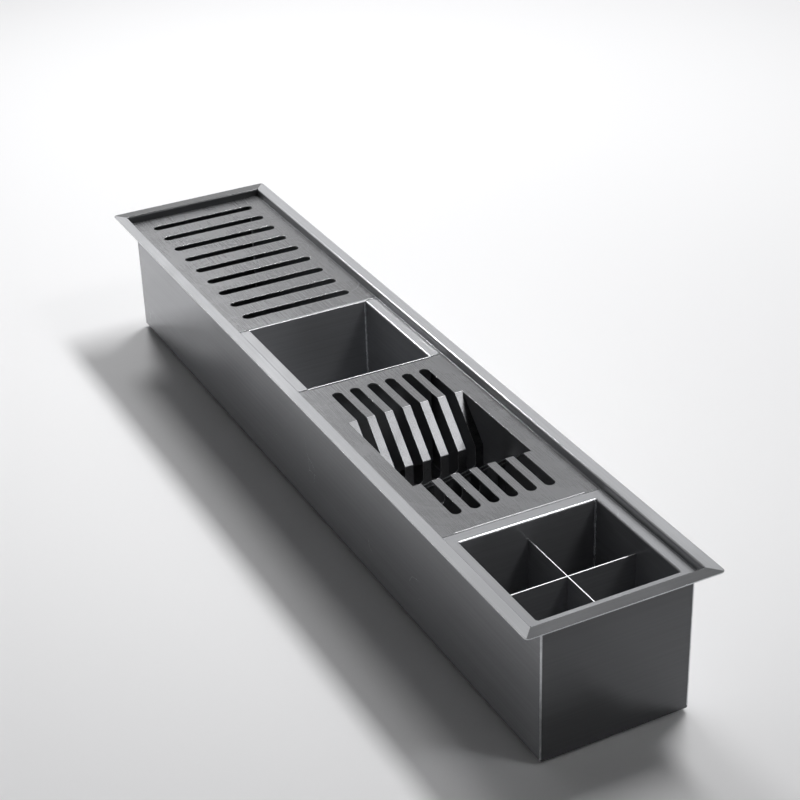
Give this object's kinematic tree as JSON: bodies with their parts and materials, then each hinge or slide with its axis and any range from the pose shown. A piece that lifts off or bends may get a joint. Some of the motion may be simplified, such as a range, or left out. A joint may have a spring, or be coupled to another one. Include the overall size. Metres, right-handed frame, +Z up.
{
  "type": "integrated trough sink",
  "caption": "Long narrow folded-steel trough sink with a slotted drain board, a deep box, a folded plate rack and a divided caddy that lift off its inner ledges.",
  "frame": {"origin": "on the ground under the middle of the trough, the centre of the outline's underside", "axes": "+X along the trough towards the caddy, +Y across it, +Z up; the picture is taken from the +X, -Y side"},
  "size_m": [1.341, 0.269, 0.205],
  "materials": {
    "trough_steel": "brushed along its length, dark gunmetal coating",
    "insert_steel": "brushed, gunmetal coating",
    "pad_rubber": "matt black"
  },
  "bodies": {
    "trough": {"basin_channel": "trough_steel", "basin_rear_plate": "trough_steel", "basin_front_plate": "trough_steel", "sound_pad_rear": "pad_rubber", "sound_pad_front": "pad_rubber"},
    "board": {"drain_board": "insert_steel"},
    "box": {"box_channel": "insert_steel", "box_rear_plate": "insert_steel", "box_front_plate": "insert_steel"},
    "rack": {"rack_sheet": "insert_steel", "rack_rail_left": "insert_steel", "rack_rail_right": "insert_steel"},
    "caddy": {"caddy_channel": "insert_steel", "caddy_rear_plate": "insert_steel", "caddy_front_plate": "insert_steel", "caddy_cross_divider": "insert_steel", "caddy_long_divider": "insert_steel"}
  },
  "joints": [
    {"name": "board_lift", "type": "slide", "parent": "trough", "child": "board", "axis": [0, 0, 1], "range_m": [0, 0.302]},
    {"name": "box_lift", "type": "slide", "parent": "trough", "child": "box", "axis": [0, 0, 1], "range_m": [0, 0.233]},
    {"name": "rack_lift", "type": "slide", "parent": "trough", "child": "rack", "axis": [0, 0, 1], "range_m": [0, 0.1765]},
    {"name": "caddy_lift", "type": "slide", "parent": "trough", "child": "caddy", "axis": [0, 0, 1], "range_m": [0, 0.15]}
  ]
}
